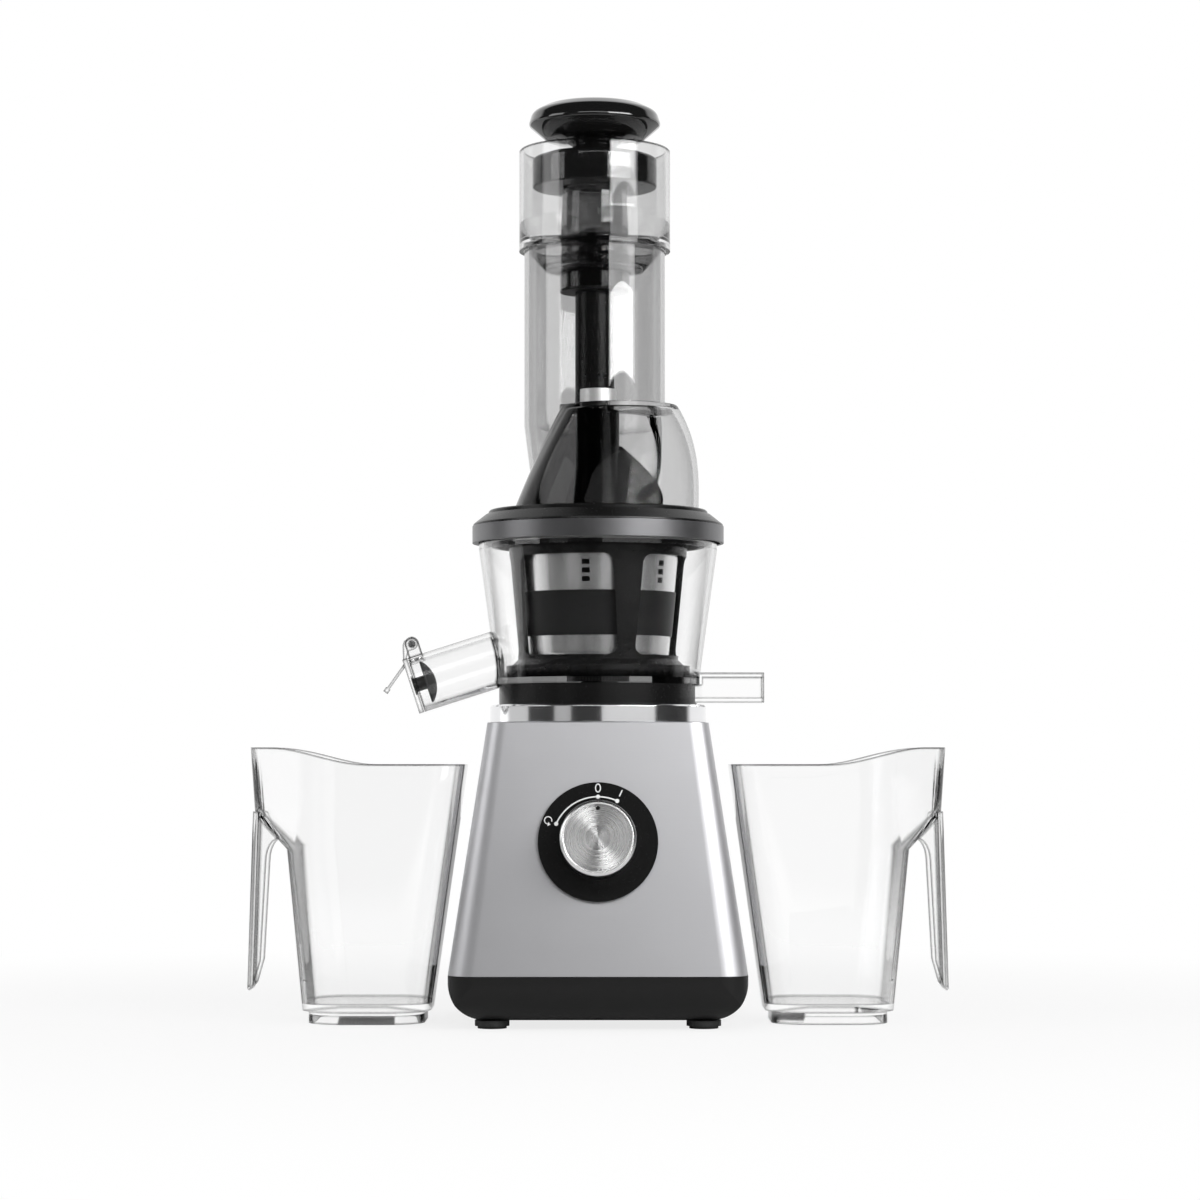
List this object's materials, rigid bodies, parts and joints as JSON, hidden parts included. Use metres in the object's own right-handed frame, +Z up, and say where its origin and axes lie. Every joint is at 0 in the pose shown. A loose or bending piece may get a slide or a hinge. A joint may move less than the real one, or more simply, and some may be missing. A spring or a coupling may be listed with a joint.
{
  "type": "cold press juicer",
  "caption": "Cold press juicer: steel motor base with dial, clear bowl with auger, strainer and wiper cage, twist-on lid with wide feed tube, cup and pushers, and jugs for juice and pulp.",
  "frame": {"origin": "middle of the base on the surface that the rubber feet and the jugs stand on, under the auger's axis", "axes": "+Z up along the auger's axis; the dial and the front face -Y; the pulp spout and the pulp jug are on +X and the juice spout and the juice jug on -X"},
  "size_m": [0.394, 0.1897, 0.5301],
  "materials": {
    "stainless": "brushed stainless steel, grain running up the faces",
    "polished_ring": "polished chrome",
    "satin_ring": "satin steel",
    "bright_steel": "ground and plated steel",
    "cast_alloy": "die-cast alloy, as cast",
    "spun_aluminium": "spun face with turned rings and a bright bevel",
    "motor_steel": "zinc-coated motor steel",
    "copper": "enamelled copper",
    "carbon": "pressed carbon",
    "nylon": "natural nylon",
    "board_green": "coated circuit board",
    "matte_black": "moulded black plastic, fine matt texture",
    "gloss_black": "moulded black plastic, gloss",
    "black_rubber": "black rubber",
    "grey_silicone": "grey silicone",
    "clear": "clear moulded plastic",
    "smoke": "smoke-tinted clear plastic"
  },
  "bodies": {
    "motor_unit": {"base_tray": "matte_black", "feet": "black_rubber", "housing_shell": "stainless", "chrome_ring": "polished_ring", "top_deck": "gloss_black", "cord_gland": "black_rubber", "screws": "bright_steel", "dial_plate": "gloss_black", "rotary_switch": "matte_black", "control_board": "board_green", "motor_can": "motor_steel", "motor_bracket": "cast_alloy", "motor_magnets": "motor_steel", "carbon_brushes": "carbon", "motor_bearings": "bright_steel", "gearbox_housing": "cast_alloy", "gearbox_cover": "cast_alloy", "layshaft_pin": "bright_steel", "shaft_bearings": "bright_steel", "shaft_seal": "black_rubber"},
    "dial": {"knob": "spun_aluminium", "knob_insert": "matte_black"},
    "rotor": {"motor_shaft": "bright_steel", "rotor_core": "motor_steel", "rotor_windings": "copper", "commutator": "copper", "cooling_fan": "nylon"},
    "layshaft": {"layshaft_gear": "nylon"},
    "drive": {"output_gear": "motor_steel", "drive_shaft": "bright_steel"},
    "bowl": {"bowl_shell": "clear", "juice_spout": "clear", "pulp_spout": "clear", "bowl_collar": "gloss_black", "floor_seal": "grey_silicone", "pulp_plug": "grey_silicone", "strainer_cone": "stainless", "strainer_band": "matte_black", "strainer_base": "matte_black", "idler_pin": "bright_steel", "cap_pin": "bright_steel"},
    "idler": {"idler_gear": "nylon"},
    "brush_basket": {"brush_cage": "matte_black", "wiper_blades": "grey_silicone"},
    "auger_body": {"auger": "gloss_black", "auger_gear": "matte_black", "auger_pin": "bright_steel"},
    "spout_stopper": {"spout_cap": "clear", "spout_seal": "black_rubber"},
    "locking_ring": {"lock_ring": "satin_ring", "lock_ring_trim": "gloss_black"},
    "lid": {"lid_shell": "smoke", "lid_seal": "grey_silicone", "bearing_cap": "clear"},
    "hopper": {"hopper_cup": "clear", "neck_bush": "matte_black"},
    "small_pusher_body": {"small_pusher": "gloss_black"},
    "large_pusher_body": {"large_pusher": "gloss_black"},
    "juice_jug_body": {"juice_jug": "clear"},
    "pulp_jug_body": {"pulp_jug": "clear"}
  },
  "joints": [
    {"name": "knob_turn", "type": "hinge", "parent": "motor_unit", "child": "dial", "pos_m": [0, -0.07097, 0.102], "axis": [0, 0.9886, -0.1504], "range_deg": [-67, 25]},
    {"name": "auger_spin", "type": "hinge", "parent": "bowl", "child": "auger_body", "pos_m": [0, 0, 0.2], "axis": [0, 0, 1], "continuous": true},
    {"name": "drive_spin", "type": "hinge", "parent": "motor_unit", "child": "drive", "pos_m": [0, 0, 0.16], "axis": [0, 0, 1], "continuous": true},
    {"name": "layshaft_spin", "type": "hinge", "parent": "motor_unit", "child": "layshaft", "pos_m": [0, 0.0288, 0.115], "axis": [0, 0, 1], "continuous": true},
    {"name": "rotor_spin", "type": "hinge", "parent": "motor_unit", "child": "rotor", "pos_m": [0, 0, 0.07], "axis": [0, 0, 1], "continuous": true},
    {"name": "idler_spin", "type": "hinge", "parent": "bowl", "child": "idler", "pos_m": [0, 0.0315, 0.197], "axis": [0, 0, 1], "continuous": true},
    {"name": "brush_spin", "type": "hinge", "parent": "bowl", "child": "brush_basket", "pos_m": [0, 0, 0.2], "axis": [0, 0, 1], "continuous": true},
    {"name": "cap_swing", "type": "hinge", "parent": "bowl", "child": "spout_stopper", "pos_m": [-0.1052, -0.00551, 0.21232], "axis": [-0.0523, 0.9986, 0], "range_deg": [0, 100]},
    {"name": "bowl_lift", "type": "slide", "parent": "motor_unit", "child": "bowl", "axis": [0, 0, 1], "range_m": [0, 0.12]},
    {"name": "lock_turn", "type": "hinge", "parent": "bowl", "child": "locking_ring", "pos_m": [0, 0, 0.277], "axis": [0, 0, 1], "range_deg": [-30, 0]},
    {"name": "lid_lift", "type": "slide", "parent": "locking_ring", "child": "lid", "axis": [0, 0, 1], "range_m": [0, 0.12]},
    {"name": "hopper_lift", "type": "slide", "parent": "lid", "child": "hopper", "axis": [0, 0, 1], "range_m": [0, 0.08]},
    {"name": "small_pusher_slide", "type": "slide", "parent": "hopper", "child": "small_pusher_body", "axis": [0, 0, 1], "range_m": [-0.008, 0.02]},
    {"name": "large_pusher_slide", "type": "slide", "parent": "hopper", "child": "large_pusher_body", "axis": [0, 0, 1], "range_m": [0, 0.1]},
    {"name": "juice_jug_slide", "type": "slide", "parent": "motor_unit", "child": "juice_jug_body", "axis": [-1, 0, 0], "range_m": [0, 0.1]},
    {"name": "pulp_jug_slide", "type": "slide", "parent": "motor_unit", "child": "pulp_jug_body", "axis": [1, 0, 0], "range_m": [0, 0.1]}
  ],
  "couplings": [
    {"joint": "drive_spin", "follows": "auger_spin", "ratio": 1},
    {"joint": "layshaft_spin", "follows": "auger_spin", "ratio": -4},
    {"joint": "rotor_spin", "follows": "auger_spin", "ratio": 20},
    {"joint": "idler_spin", "follows": "auger_spin", "ratio": -1.3333},
    {"joint": "brush_spin", "follows": "auger_spin", "ratio": -0.4}
  ]
}
